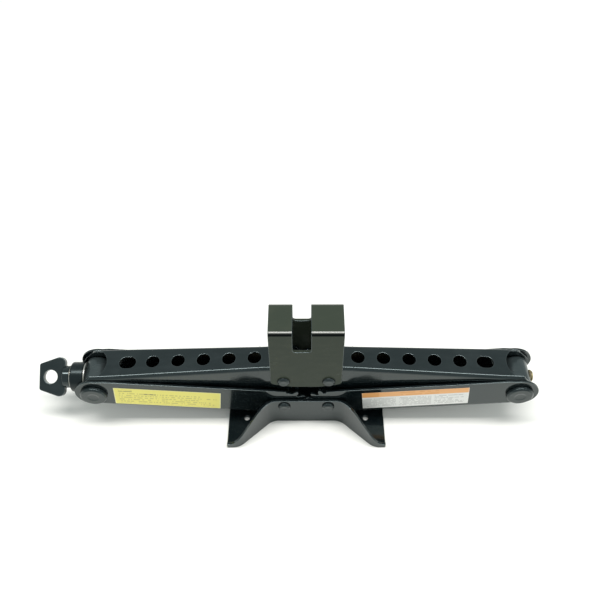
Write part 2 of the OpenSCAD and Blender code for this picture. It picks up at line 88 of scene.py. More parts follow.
class Wire:
    """A number or vector on a shader socket. Arithmetic on it adds Math nodes."""

    def __init__(self, tree: "ShaderTree", socket: Socket) -> None:
        """Keeps the socket and the tree that it belongs to."""
        self.tree = tree
        self.socket = socket

    def _math(self, operation: str, *values: "Wire | Number") -> "Wire":
        """Adds one Math node.

        Args:
            operation: The node's operation.
            values: Its inputs, in order.

        Returns:
            The node's result.
        """
        return self.tree.node("ShaderNodeMath", {"operation": operation}, dict(enumerate(values)))

    def __add__(self, other: "Wire | Number") -> "Wire":
        """self + other."""
        return self._math("ADD", self, other)

    def __radd__(self, other: Number) -> "Wire":
        """other + self."""
        return self._math("ADD", other, self)

    def __sub__(self, other: "Wire | Number") -> "Wire":
        """self - other."""
        return self._math("SUBTRACT", self, other)

    def __rsub__(self, other: Number) -> "Wire":
        """other - self."""
        return self._math("SUBTRACT", other, self)

    def __mul__(self, other: "Wire | Number") -> "Wire":
        """self * other."""
        return self._math("MULTIPLY", self, other)

    def __truediv__(self, other: "Wire | Number") -> "Wire":
        """self / other."""
        return self._math("DIVIDE", self, other)

    def __gt__(self, other: "Wire | Number") -> "Wire":
        """1 where self is above other, else 0."""
        return self._math("GREATER_THAN", self, other)

    def __lt__(self, other: "Wire | Number") -> "Wire":
        """1 where self is below other, else 0."""
        return self._math("LESS_THAN", self, other)

    def absolute(self) -> "Wire":
        """The value without its sign."""
        return self._math("ABSOLUTE", self)

    def root(self) -> "Wire":
        """The square root."""
        return self._math("SQRT", self)

    def floor(self) -> "Wire":
        """The whole number below."""
        return self._math("FLOOR", self)

    def part(self) -> "Wire":
        """What is left after the whole number."""
        return self._math("FRACT", self)

    def above(self, edge: Number, soft: Number) -> "Wire":
        """A soft step from 0 to 1.

        Args:
            edge: Where the step is half way.
            soft: Half the width of the step.

        Returns:
            The step's value.
        """
        settings = {"interpolation_type": "SMOOTHSTEP", "clamp": True}
        sockets = {"Value": self, "From Min": edge - soft, "From Max": edge + soft,
                   "To Min": 0.0, "To Max": 1.0}
        return self.tree.node("ShaderNodeMapRange", settings, sockets)


class ShaderTree:
    """A material whose nodes are added from code."""

    def __init__(self, name: str) -> None:
        """Makes an empty material with a Principled shader.

        Args:
            name: The material's name.
        """
        self.material = bpy.data.materials.new(name)
        self.material.use_nodes = True
        self.nodes = self.material.node_tree.nodes
        self.links = self.material.node_tree.links
        self.nodes.clear()
        self.shader = self.nodes.new("ShaderNodeBsdfPrincipled")
        output = self.nodes.new("ShaderNodeOutputMaterial")
        self.links.new(self.shader.outputs[0], output.inputs["Surface"])

    def node(self, kind: str, settings: dict | None = None, sockets: dict | None = None,
             out: int | str = 0) -> Wire:
        """Adds a node.

        Args:
            kind: The node's type.
            settings: Its properties, set first. The key "stops" fills a colour ramp.
            sockets: Its inputs by name or place, each a value or a wire.
            out: The output to return.

        Returns:
            The wire of that output.
        """
        node = self.nodes.new(kind)
        for key, value in (settings or {}).items():
            if key == "stops":
                self._fill_ramp(node.color_ramp, value)
            else:
                setattr(node, key, value)
        self.plug(node, sockets or {})
        return Wire(self, node.outputs[out])

    def plug(self, node: bpy.types.Node, sockets: dict) -> None:
        """Sets or links a node's inputs.

        Args:
            node: The node.
            sockets: Its inputs by name or place, each a value or a wire.
        """
        for key, value in sockets.items():
            if isinstance(value, Wire):
                self.links.new(value.socket, node.inputs[key])
            else:
                node.inputs[key].default_value = value

    def finish(self, **sockets: "Wire | Number | Sequence[float]") -> Material:
        """Connects the Principled shader.

        Args:
            sockets: Its inputs, with underscores for spaces.

        Returns:
            The finished material.
        """
        self.plug(self.shader, {key.replace("_", " "): value for key, value in sockets.items()})
        return self.material

    @staticmethod
    def _fill_ramp(ramp: bpy.types.ColorRamp, stops: Sequence[tuple[float, Colour]]) -> None:
        """Sets a ramp's stops."""
        while len(ramp.elements) < len(stops):
            ramp.elements.new(0.5)
        for element, (place, colour) in zip(ramp.elements, stops):
            element.position = place
            element.color = (*colour, 1.0)

    def place(self) -> Wire:
        """The place on the object, in metres."""
        return self.node("ShaderNodeTexCoord", out="Object")

    def axes(self) -> tuple[Wire, Wire, Wire]:
        """The three numbers of the place on the object."""
        split = self.node("ShaderNodeSeparateXYZ", sockets={0: self.place()}).socket.node
        return tuple(Wire(self, split.outputs[i]) for i in range(3))

    def vector(self, x: "Wire | Number", y: "Wire | Number" = 0.0, z: "Wire | Number" = 0.0) -> Wire:
        """A vector from three numbers."""
        return self.node("ShaderNodeCombineXYZ", sockets={0: x, 1: y, 2: z})

    def stretched(self, x: Number, y: Number, z: Number) -> Wire:
        """The place on the object, scaled along each axis."""
        return self.node("ShaderNodeMapping", sockets={"Vector": self.place(), "Scale": (x, y, z)})

    def noise(self, scale: Number, detail: Number = 2.0, at: Wire | None = None) -> Wire:
        """Smooth noise from 0 to 1.

        Args:
            scale: Features per metre, or per unit of the vector.
            detail: Finer octaves to add.
            at: The vector to read, or the place on the object.

        Returns:
            The noise's value.
        """
        sockets = {"Vector": at or self.place(), "Scale": scale, "Detail": detail, "Roughness": 0.55}
        return self.node("ShaderNodeTexNoise", sockets=sockets)

    def blend(self, share: "Wire | Number", low: "Wire | Colour", high: "Wire | Colour") -> Wire:
        """Mixes two colours.

        Args:
            share: How much of the second colour.
            low: The first colour.
            high: The second colour.

        Returns:
            The mixed colour.
        """
        ends = [c if isinstance(c, Wire) else (*c, 1.0) for c in (low, high)]
        settings = {"data_type": "RGBA", "clamp_factor": True}
        return self.node("ShaderNodeMix", settings, {0: share, 6: ends[0], 7: ends[1]}, out=2)

    def bump(self, height: Wire, depth: Number, strength: Number = 1.0, under: Wire | None = None) -> Wire:
        """A normal from a height.

        Args:
            height: The height, from 0 to 1.
            depth: What a height of 1 stands for, in metres.
            strength: How strongly it acts.
            under: Another bump's normal, below this one.

        Returns:
            The normal.
        """
        sockets = {"Height": height, "Distance": depth, "Strength": strength}
        if under:
            sockets["Normal"] = under
        return self.node("ShaderNodeBump", sockets=sockets)


# -------------------------------------------------------------------- finishes


@dataclass(frozen=True)
class BlackEnamel:
    """Glossy black paint, dipped and baked over pressed steel."""

    name: str
    colour: Colour = (0.0035, 0.0060, 0.0068)
    dusty: Colour = (0.012, 0.016, 0.017)
    roughness: float = 0.09
    haze: float = 0.07
    ripple: float = 0.5
    chips: float = 0.0
    gloss: float = 1.55
    sheen: Colour = (0.84, 1.0, 1.0)

    def make(self) -> Material:
        """Builds the paint.

        Returns:
            The material.
        """
        tree = ShaderTree(self.name)
        cloud = tree.noise(34.0, 3.0)
        smear = tree.noise(1.0, 4.0, tree.stretched(60.0, 190.0, 190.0))
        speck = tree.noise(1500.0, 1.0).above(0.72, 0.03)
        film = cloud * 0.55 + smear * 0.45
        colour = tree.blend(film.above(0.58, 0.16) * 0.75 + speck * 0.25, self.colour, self.dusty)
        rough = self.roughness + film.above(0.55, 0.2) * self.haze + speck * 0.18
        metal = 0.0
        if self.chips:
            chip = tree.noise(420.0, 4.0).above(1.0 - self.chips, 0.015) * tree.noise(30.0).above(0.52, 0.08)
            colour = tree.blend(chip, colour, (0.33, 0.32, 0.30))
            rough = rough + chip * 0.2
            metal = chip * 0.9
        sheet = tree.bump(tree.noise(26.0, 1.0), 0.9 * MM, 0.10 * self.ripple)
        peel = tree.bump(tree.noise(720.0, 2.0), 0.08 * MM, 0.22, under=sheet)
        return tree.finish(Base_Color=colour, Roughness=rough, Metallic=metal, Normal=peel, IOR=self.gloss,
                           Specular_Tint=(*self.sheen, 1.0))


@dataclass(frozen=True)
class ZincPlate:
    """Bright or yellow zinc plate on a part turned about the screw's axis."""

    name: str
    low: Colour
    high: Colour
    tint: Colour
    roughness: float = 0.24
    axis_z: float = 0.042
    dark_root_radius: float = 0.0

    def make(self) -> Material:
        """Builds the plated finish, with turning rings and, on a thread, darker less metallic patches in its
        roots.

        Returns:
            The material.
        """
        tree = ShaderTree(self.name)
        _, y, z = tree.axes()
        drop = z - self.axis_z
        radius = (y * y + drop * drop).root()
        rings = tree.noise(1.0, 2.0, tree.vector(radius * 5200.0, 3.1, 0.7))
        cloud = tree.noise(260.0, 3.0)
        colour = tree.blend(cloud.above(0.5, 0.22), self.low, self.high)
        colour = tree.blend(tree.noise(90.0).above(0.58, 0.12) * 0.6, colour, self.tint)
        rough = self.roughness + rings * 0.12 + cloud * 0.10
        metal = 1.0
        if self.dark_root_radius:
            # Darker, less metallic patches where the radius is below the root radius, in the thread's roots.
            dark_roots = 1.0 - radius.above(self.dark_root_radius, 0.35 * MM)
            dark_roots = dark_roots * tree.noise(120.0, 2.0).above(0.40, 0.14)
            colour = tree.blend(dark_roots * 0.85, colour, (0.030, 0.024, 0.016))
            metal = 1.0 - dark_roots * 0.7
            rough = rough + dark_roots * 0.12
        normal = tree.bump(rings, 0.05 * MM, 0.35)
        return tree.finish(Base_Color=colour, Roughness=rough, Metallic=metal, Normal=normal)


class Print(Enum):
    """What is printed on a label: rows of plain bars that stand for text."""

    FINE_ROWS = "fine_rows"
    COLUMNS = "columns"
    HEADING = "heading"


@dataclass(frozen=True)
class PrintedFilm:
    """A printed film label, laid along an arm. Its print is bars that carry no words."""

    name: str
    kind: Print
    film: Colour
    ink: Colour
    centre: tuple[float, float]
    tilt: float
    size: tuple[float, float]
    roughness: float = 0.38

    def make(self) -> Material:
        """Builds the label's film and print.

        Returns:
            The material.
        """
        tree = ShaderTree(self.name)
        x, _, z = tree.axes()
        dx, dz = x - self.centre[0], z - self.centre[1]
        cos, sin = math.cos(self.tilt), math.sin(self.tilt)
        along, up = dx * cos + dz * sin, dz * cos - dx * sin
        across, down = along / self.size[0] + 0.5, 0.5 - up / self.size[1]
        ink = self._print(tree, across, down)
        grain = tree.noise(900.0, 2.0)
        film = tree.blend(tree.noise(45.0, 3.0) * 0.5, self.film, tuple(c * 0.86 for c in self.film))
        edge = ((across - 0.5).absolute() > 0.493) + ((down - 0.5).absolute() > 0.485)
        film = tree.blend(edge * 0.35, film, (0.9, 0.89, 0.84))
        colour = tree.blend(ink, film, self.ink)
        normal = tree.bump(tree.noise(75.0, 1.0), 0.25 * MM, 0.30)
        return tree.finish(Base_Color=colour, Roughness=self.roughness + grain * 0.12, Normal=normal)

    def _print(self, tree: ShaderTree, across: Wire, down: Wire) -> Wire:
        """The share of ink at each place.

        Args:
            tree: The label's tree.
            across: 0 at the label's left end and 1 at its right.
            down: 0 at the label's top and 1 at its foot.

        Returns:
            The share of ink.
        """
        inside = ((across - 0.5).absolute() < 0.46) * ((down - 0.5).absolute() < 0.42)
        if self.kind is Print.HEADING:
            block = across < 0.16
            bars = self._bars(tree, across, down, 2.0, 26.0, 0.46) * (across > 0.36) * (across < 0.72)
            return (block * 0.45 + bars * 0.42) * inside + block * (1.0 - inside) * 0.45
        if self.kind is Print.COLUMNS:
            gutter = ((across * 3.0).part() - 0.5).absolute() < 0.455
            box = (across < 0.075) * ((down - 0.45).absolute() < 0.30)
            rows = self._bars(tree, across, down, 9.0, 70.0, 0.40) * gutter * inside * 0.62
            return rows * (1.0 - box) + box * 0.3
        title = self._bars(tree, across, down, 8.0, 24.0, 0.30) * (down < 0.20) * (across < 0.17) * 0.75
        notes = self._bars(tree, across, down, 8.0, 60.0, 0.47) * (down > 0.22) * 0.34
        mark = self._bars(tree, across, down, 8.0, 30.0, 0.42) * (down > 0.22) * (down < 0.36)
        mark = mark * (across > 0.28) * (across < 0.42) * 0.5
        return (title + notes + mark) * inside

    @staticmethod
    def _bars(tree: ShaderTree, across: Wire, down: Wire, rows: Number, words: Number, gap: Number) -> Wire:
        """Rows of bars of uneven length.

        Args:
            tree: The label's tree.
            across: The place along the label, from 0 to 1.
            down: The place down the label, from 0 to 1.
            rows: Rows in the label's height.
            words: Bars in the label's length.
            gap: The share of each row that is left blank, above 0.

        Returns:
            1 on a bar and 0 beside it.
        """
        row = (down * rows).floor()
        in_row = ((down * rows).part() - 0.5).absolute() < 0.26
        cut = tree.noise(1.0, 0.0, tree.vector(across * words, row * 7.3, 1.7)).above(gap, 0.03)
        length = tree.noise(1.0, 0.0, tree.vector(row * 3.7, 0.3, 5.0)) * 0.5 + 0.66
        return in_row * cut * (across < length)


@dataclass(frozen=True)
class StudioFloor:
    """A plain pale floor with a faint grain."""

    name: str = "studio_floor"
    colour: Colour = (0.88, 0.865, 0.82)

    def make(self) -> Material:
        """Builds the floor's finish.

        Returns:
            The material.
        """
        tree = ShaderTree(self.name)
        grain = tree.noise(14.0, 3.0)
        colour = tree.blend(grain, self.colour, tuple(c * 0.985 for c in self.colour))
        return tree.finish(Base_Color=colour, Roughness=0.55 + grain * 0.1)


# ------------------------------------------------------------------ geometry


class GeometryTree:
    """A Geometry Nodes tree built from code, and turned into a plain mesh."""

    KINDS = {float: "NodeSocketFloat", int: "NodeSocketInt", Vector: "NodeSocketVector",
             Object: "NodeSocketObject"}

    def __init__(self, name: str, **inputs: "float | int | Vector | Object") -> None:
        """Makes the tree.

        Args:
            name: The tree's name.
            inputs: Its named inputs and their values.
        """
        self.tree = bpy.data.node_groups.new(name, "GeometryNodeTree")
        self.values = inputs
        self.identifiers: dict[str, str] = {}
        for key, value in inputs.items():
            kind = next(k for t, k in self.KINDS.items() if isinstance(value, t))
            socket = self.tree.interface.new_socket(key, in_out="INPUT", socket_type=kind)
            self.identifiers[key] = socket.identifier
        self.tree.interface.new_socket("Mesh", in_out="OUTPUT", socket_type="NodeSocketGeometry")
        self.inputs = self.tree.nodes.new("NodeGroupInput")

    def node(self, kind: str, settings: dict | None = None, sockets: dict | None = None,
             out: int | str = 0) -> Socket:
        """Adds a node.

        Args:
            kind: The node's type.
            settings: Its properties.
            sockets: Its inputs, each a value, a socket, or the name of one of the tree's inputs.
            out: The output to return.

        Returns:
            That output's socket.
        """
        node = self.tree.nodes.new(kind)
        for key, value in (settings or {}).items():
            setattr(node, key, value)
        for key, value in (sockets or {}).items():
            if isinstance(value, str):
                self.tree.links.new(self.inputs.outputs[value], node.inputs[key])
            elif isinstance(value, Socket):
                self.tree.links.new(value, node.inputs[key])
            else:
                node.inputs[key].default_value = value
        return node.outputs[out]

    def maths(self, operation: str, *values: Input) -> Socket:
        """One Math node on the values."""
        return self.node("ShaderNodeMath", {"operation": operation}, dict(enumerate(values)))

    def xyz(self, x: Input = 0.0, y: Input = 0.0, z: Input = 0.0) -> Socket:
        """A vector from three numbers."""
        return self.node("ShaderNodeCombineXYZ", sockets={0: x, 1: y, 2: z})

    def moved(self, shape: Socket, place: "Sequence[float] | Input" = (0, 0, 0),
              turn: Sequence[float] = (0, 0, 0)) -> Socket:
        """A shape, turned and then moved."""
        sockets = {"Geometry": shape, "Translation": place, "Rotation": turn}
        return self.node("GeometryNodeTransform", sockets=sockets)

    def joined(self, *shapes: Socket) -> Socket:
        """Several shapes as one."""
        node = self.tree.nodes.new("GeometryNodeJoinGeometry")
        for shape in shapes:
            self.tree.links.new(shape, node.inputs[0])
        return node.outputs[0]

    def mesh(self, name: str, shape: Socket, material: Material) -> Object:
        """Ends the tree and makes its result a plain object.

        Args:
            name: The object's name.
            shape: The tree's last shape.
            material: The material to set.

        Returns:
            The object, at the origin and with no modifier.
        """
        real = self.node("GeometryNodeRealizeInstances", sockets={0: shape})
        dressed = self.node("GeometryNodeSetMaterial", sockets={"Geometry": real, "Material": material})
        smooth = self.node("GeometryNodeSetShadeSmooth", sockets={0: dressed})
        output = self.tree.nodes.new("NodeGroupOutput")
        self.tree.links.new(smooth, output.inputs[0])
        carrier = added(name + "_carrier", bpy.data.meshes.new(name + "_carrier"))
        modifier = carrier.modifiers.new("nodes", "NODES")
        modifier.node_group = self.tree
        for key, identifier in self.identifiers.items():
            modifier[identifier] = self.values[key]
        made = plain_copy(carrier, name)
        bpy.data.objects.remove(carrier)
        smooth_by_angle(made, 40)
        return made


def added(name: str, data: bpy.types.ID) -> Object:
    """Adds an object to the scene."""
    made = bpy.data.objects.new(name, data)
    bpy.context.scene.collection.objects.link(made)
    return made


def plain_copy(obj: Object, name: str) -> Object:
    """Turns an object with modifiers into a new plain one.

    Args:
        obj: The object, which stays as it is.
        name: The new object's name.

    Returns:
        The new object.
    """
    bpy.context.view_layer.update()
    graph = bpy.context.evaluated_depsgraph_get()
    mesh = bpy.data.meshes.new_from_object(obj.evaluated_get(graph), depsgraph=graph)
    mesh.name = name
    return added(name, mesh)


def smooth_by_angle(obj: Object, degrees: float) -> None:
    """Shades smooth, but keeps edges above an angle sharp."""
    obj.data.shade_smooth()
    obj.data.set_sharp_from_angle(angle=math.radians(degrees))


def from_bmesh(name: str, shape: bmesh.types.BMesh) -> Object:
    """Makes an object from a bmesh, and frees the bmesh."""
    mesh = bpy.data.meshes.new(name)
    shape.to_mesh(mesh)
    shape.free()
    return added(name, mesh)


def rounded(points: Sequence[Point], radii: Sequence[float], steps: int = 4) -> list[Point]:
    """Rounds the corners of an open profile.

    Args:
        points: The profile's corners.
        radii: A radius for each corner. The first and last are not used.
        steps: Segments in each rounded corner.

    Returns:
        The profile's points.
    """
    out = [points[0]]
    for i in range(1, len(points) - 1):
        here, radius = Vector(points[i]), radii[i]
        back, on = Vector(points[i - 1]) - here, Vector(points[i + 1]) - here
        if radius <= 0:
            out.append(points[i])
            continue
        angle = back.angle(on)
        reach = min(radius / math.tan(angle / 2), back.length * 0.49, on.length * 0.49)
        start, end = here + back.normalized() * reach, here + on.normalized() * reach
        for k in range(steps + 1):
            t = k / steps
            point = start * (1 - t) ** 2 + here * 2 * t * (1 - t) + end * t * t
            out.append((point.x, point.y))
    out.append(points[-1])
    return out


def lathe(name: str, profile: Sequence[Point], turn: Matrix, steps: int = 72,
          dent: Callable[[Vector], float] | None = None) -> Object:
    """Turns a profile about an axis.

    Args:
        name: The object's name.
        profile: Points of (radius, height), closed where both ends are on the axis.
        turn: Takes the local Z axis to its place on the jack.
        steps: Segments around.
        dent: A height to take off at each local point, or none.

    Returns:
        The object.
    """
    shape = bmesh.new()
    rings = []
    for radius, height in profile:
        if radius < 1e-9:
            rings.append([shape.verts.new((0, 0, height))])
        else:
            angles = [2 * math.pi * k / steps for k in range(steps)]
            rings.append([shape.verts.new((radius * math.cos(a), radius * math.sin(a), height))
                          for a in angles])
    for low, high in zip(rings, rings[1:]):
        for k in range(steps):
            corners = [low[k % len(low)], low[(k + 1) % steps % len(low)],
                       high[(k + 1) % steps % len(high)], high[k % len(high)]]
            corners = list(dict.fromkeys(corners))
            if len(corners) > 2:
                shape.faces.new(corners)
    if dent:
        for vert in shape.verts:
            vert.co.z -= dent(vert.co)
    bmesh.ops.remove_doubles(shape, verts=shape.verts, dist=1e-7)
    shape.transform(turn)
    bmesh.ops.recalc_face_normals(shape, faces=shape.faces)
    made = from_bmesh(name, shape)
    smooth_by_angle(made, 35)
    return made


@dataclass(frozen=True)
class Span:
    """Where a turned frame node lies: its ends along its axis and its radius."""

    low: float
    high: float
    radius: float
    x: float
    z: float

    @classmethod
    def of(cls, node: str, axis: int = 0) -> "Span":
        """Measures a node.

        Args:
            node: The frame node.
            axis: 0 where it is turned about X, and 1 about Y.

        Returns:
            Its span.
        """
        low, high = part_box(node)
        middle = (low + high) / 2
        return cls(low[axis], high[axis], (high.z - low.z) / 2, middle.x, middle.z)


def along_x(x: float, z: float) -> Matrix:
    """Takes local +Z to +X, from a point on the screw's axis."""
    return Matrix.Translation((x, 0, z)) @ Matrix.Rotation(math.pi / 2, 4, "Y")


def along_y(x: float, z: float, side: int = 1) -> Matrix:
    """Takes local +Z to +Y, or to -Y where side is -1."""
    return Matrix.Translation((x, 0, z)) @ Matrix.Rotation(-side * math.pi / 2, 4, "X")


def ring_on(node: str, inner: float, round_off: float) -> Object:
    """A turned ring with rounded edges, in a frame node's place on the screw.

    Args:
        node: The frame node, turned about X.
        inner: The bore's radius.
        round_off: The radius of the outer edges.

    Returns:
        The object.
    """
    span = Span.of(node)
    low, high, outer, middle = span.low, span.high, span.radius, (inner + span.radius) / 2
    corners = [(middle, low), (outer, low), (outer, high), (inner, high), (inner, low), (middle, low)]
    small = round_off * 0.5
    profile = rounded(corners, [0, round_off, round_off, small, small, 0])
    return lathe(node + "_piece", profile, along_x(0, span.z))


@dataclass
class PressedPart:
    """A pressed-steel or plate part: the frame's own shape, with its sheared edges broken."""

    node: str
    body: Body
    break_edge: float = 0.32 * MM
    segments: int = 2
    bend_foot: float = 0.1
    bend_middle: float = 0.78
    bend_top: float = 0.995
    merge: float = 2e-6
    flat_angle: float = 0.6
    sheared_angle: float = 38
    smooth_angle: float = 32

    def build(self, face: Material, edge: Material,
              bend: tuple[Material, Material] | None = None) -> Object:
        """Builds the part from a merged copy of its frame node.

        Args:
            face: The finish of its faces.
            edge: The finish of its broken edges; a lighter copy of the paint there is a painted highlight.
            bend: The painted highlight and painted shade finishes of the upper and lower half of the top
                bends, or None where they are the faces' own.

        Returns:
            The piece, riding on its body.
        """
        shape = bmesh.new()
        shape.from_mesh(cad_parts[self.node].data)
        bmesh.ops.remove_doubles(shape, verts=shape.verts, dist=self.merge)
        bmesh.ops.dissolve_limit(shape, angle_limit=math.radians(self.flat_angle), verts=shape.verts,
                                 edges=shape.edges, use_dissolve_boundaries=False)
        rough = from_bmesh(self.node + "_rough", shape)
        for finish in (face, edge, *(bend or (face, face))):
            rough.data.materials.append(finish)
        # Bend faces that point up get the painted highlight finish, and those lower on the bend the painted
        # shade finish, chosen by which way each face points.
        for polygon in rough.data.polygons:
            across, up = abs(polygon.normal.x), polygon.normal.z
            on_bend = self.bend_foot < up < self.bend_top and across < self.bend_foot
            polygon.material_index = (2 if up > self.bend_middle else 3) if on_bend else 0
        bevel = rough.modifiers.new("broken_edges", "BEVEL")
        bevel.width = self.break_edge
        bevel.segments = self.segments
        bevel.limit_method = "ANGLE"
        bevel.angle_limit = math.radians(self.sheared_angle)
        bevel.use_clamp_overlap = False
        bevel.harden_normals = False
        # The broken edges take the edge finish, which can be a lighter copy of the paint that paints a
        # highlight along them.
        bevel.material = 1
        bevel.miter_outer = "MITER_SHARP"
        made = plain_copy(rough, self.node + "_pressed")
        bpy.data.objects.remove(rough)
        smooth_by_angle(made, self.smooth_angle)
        weight = made.modifiers.new("flat_faces", "WEIGHTED_NORMAL")
        weight.keep_sharp = True
        final = plain_copy(made, self.node + "_piece")
        bpy.data.objects.remove(made)
        return settle(final, self.body, Slot.BLACK, self.node)


def settle(piece: Object, body: Body, slot: Slot, *nodes: str) -> Object:
    """Puts a piece on its body, and hides the frame nodes that it stands for.

    Args:
        piece: The finished piece.
        body: The body it rides on.
        slot: The record's material slot; not used.
        nodes: The frame nodes it replaces.

    Returns:
        The piece.
    """
    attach(piece, body.value)
    if nodes:
        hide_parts(*nodes)
    log.info("%s: %d faces on %s", piece.name, len(piece.data.polygons), body.value)
    return piece


def dress(piece: Object, material: Material) -> Object:
    """Gives a piece one material."""
    piece.data.materials.clear()
    piece.data.materials.append(material)
    return piece


# ---------------------------------------------------------------- the finishes


class Palette:
    """Every material of the jack, made once."""

    def __init__(self) -> None:
        """Builds the materials."""
        self.enamel = BlackEnamel("black_enamel").make()
        # Edge finish: a lighter, glossier copy of the black paint that paints a highlight along the broken
        # edges, with real chips in it.
        self.edge_enamel_painted_highlight_and_chips = BlackEnamel(
            "black_enamel_on_edges_painted_highlight_and_chips", colour=(0.012, 0.016, 0.018), dusty=(0.05, 0.055, 0.052),
            roughness=0.16, haze=0.08, ripple=0.2, chips=0.10, gloss=1.9).make()
        # Saddle paint: a lighter, olive-tinted copy of the black paint whose colour is a painted reflection
        # that brightens the saddle's top, with real dust and chips.
        self.saddle_enamel_painted_sheen = BlackEnamel(
            "black_enamel_saddle_painted_sheen", colour=(0.034, 0.042, 0.031), dusty=(0.046, 0.053, 0.038),
            roughness=0.20, haze=0.10, ripple=0.7, chips=0.02, gloss=1.22, sheen=(0.86, 1.0, 0.92)).make()
        # A lighter, glossier copy of the paint on the top of the bends is a painted highlight; a near-black
        # copy below it is a painted shade.
        self.bend_painted_highlight = BlackEnamel(
            "black_enamel_painted_highlight_on_bends", colour=(0.02, 0.02, 0.017), dusty=(0.03, 0.03, 0.026),
            roughness=0.33, haze=0.04, ripple=0.1, gloss=2.3, sheen=(1.0, 1.0, 0.94)).make()
        self.bend_painted_shade = BlackEnamel(
            "black_enamel_painted_shade_under_bends", colour=(0.002, 0.003, 0.003), dusty=(0.004, 0.005, 0.004),
            roughness=0.30, haze=0.05, ripple=0.2, gloss=1.14).make()
        self.cup_enamel = BlackEnamel("black_enamel_on_cup", roughness=0.24, haze=0.10, gloss=1.38).make()
        # Barrel paint: a lighter copy of the black paint, a painted reflection that makes the trunnion
        # barrels look grey.
        self.barrel_enamel_painted_sheen = BlackEnamel(
            "black_enamel_on_barrels_painted_sheen", colour=(0.022, 0.029, 0.030), dusty=(0.035, 0.042, 0.042),
            roughness=0.20, haze=0.12, ripple=0.6).make()
        self.rivet_enamel = BlackEnamel(
            "black_enamel_on_rivets", roughness=0.12, haze=0.10, ripple=0.7, chips=0.03).make()
        self.zinc = ZincPlate(
            "bright_zinc", (0.30, 0.30, 0.28), (0.46, 0.46, 0.43), (0.28, 0.27, 0.22)).make()
        self.yellow = ZincPlate(
            "yellow_zinc", (0.24, 0.20, 0.11), (0.40, 0.34, 0.19), (0.20, 0.17, 0.11), roughness=0.30).make()
        self.thread = ZincPlate(
            "yellow_zinc_thread", (0.34, 0.29, 0.15), (0.54, 0.46, 0.25), (0.24, 0.20, 0.13),
            roughness=0.28, dark_root_radius=5.0 * MM).make()


# -------------------------------------------------------------- sub-assemblies


@dataclass
class RivetHead:
    """The set head of a riveted pin: a low dome with a dished middle."""

    radius: float = 5.5 * MM
    height: float = 2.5 * MM

    def profile(self) -> list[Point]:
        """The head's profile, from the sheet outwards.

        Returns:
            Points of (radius, height).
        """
        r, h = self.radius, self.height
        corners = [(0, 0.05 * MM), (r - 0.2 * MM, 0.05 * MM), (r - 0.03 * MM, 0.35 * MM),
                   (r - 0.5 * MM, h * 0.62), (r * 0.66, h - 0.03 * MM), (r * 0.36, h - 0.10 * MM),
                   (0, h - 0.32 * MM)]
        return rounded(corners, [0, 0.2 * MM, 0.5 * MM, 1.1 * MM, 0.9 * MM, 1.0 * MM, 0], 5)


@dataclass
class Rivets:
    """The pins of the base or the saddle: shank and two set heads each."""

    kind: str
    body: Body
    head: RivetHead = field(default_factory=RivetHead)
    shank: float = 4.0 * MM

    def build(self, palette: Palette) -> None:
        """Builds both pins of the part, and finishes the frame's spacers on them.

        Args:
            palette: The materials.
        """
        for side in ("left", "right"):
            node = f"{self.kind}_pivot_pin_{side}"
            pin = self._pin(f"{self.kind}_rivet_{side}", Span.of(node, 1), palette)
            settle(pin, self.body, Slot.BLACK, node)
            dress(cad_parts[f"{self.kind}_pin_spacer_{side}"], palette.enamel)

    def _pin(self, name: str, span: Span, palette: Palette) -> Object:
        """One pin, with a head instanced on each of its ends."""
        head = lathe("head_source", self.head.profile(), Matrix.Identity(4), 48)
        half = span.high - self.head.height
        tree = GeometryTree(name, Head=head, Shank=self.shank, Half=half, Place=Vector((span.x, 0, span.z)))
        line = tree.node("GeometryNodeMeshLine", {"mode": "END_POINTS"},
                         {"Count": 2, "Start Location": (0, -1, 0), "Offset": (0, 1, 0)})
        place = tree.node("GeometryNodeInputPosition")
        spread = tree.node("ShaderNodeVectorMath", {"operation": "MULTIPLY"},
                           {0: place, 1: tree.xyz(y="Half")})
        ends = tree.node("GeometryNodeSetPosition", sockets={"Geometry": line, "Position": spread})
        turn = tree.node("FunctionNodeAlignRotationToVector", {"axis": "Z"}, {"Vector": place})
        source = tree.node("GeometryNodeObjectInfo", sockets={"Object": "Head"}, out="Geometry")
        heads = tree.node("GeometryNodeInstanceOnPoints",
                          sockets={"Points": ends, "Instance": source, "Rotation": turn})
        length = tree.maths("MULTIPLY_ADD", "Half", 2.0, 0.4 * MM)
        rod = tree.node("GeometryNodeMeshCylinder", {"fill_type": "NGON"},
                        {"Vertices": 40, "Radius": "Shank", "Depth": length})
        rod = tree.moved(rod, turn=(math.pi / 2, 0, 0))
        whole = tree.moved(tree.joined(heads, rod), place="Place")
        made = tree.mesh(name, whole, palette.rivet_enamel)
        bpy.data.objects.remove(head)
        return made


@dataclass
class Base:
    """The stamped base: a foot with flared sides, its pins and spacers."""

    def build(self, palette: Palette) -> None:
        """Builds the base and its pins."""
        PressedPart("base_plate", Body.BASE, 0.45 * MM, 3).build(palette.enamel, palette.edge_enamel_painted_highlight_and_chips)
        Rivets("base", Body.BASE).build(palette)


@dataclass
class Arms:
    """The four pressed arms, with their gear teeth."""

    def build(self, palette: Palette) -> None:
        """Builds the arms.

        Args:
            palette: The materials.
        """
        parts = {"lower_arm_left": Body.LEFT_LOWER, "lower_arm_right": Body.RIGHT_LOWER,
                 "upper_arm_left": Body.LEFT_UPPER, "upper_arm_right": Body.RIGHT_UPPER}
        for node, body in parts.items():
            PressedPart(node, body).build(palette.enamel, palette.edge_enamel_painted_highlight_and_chips)


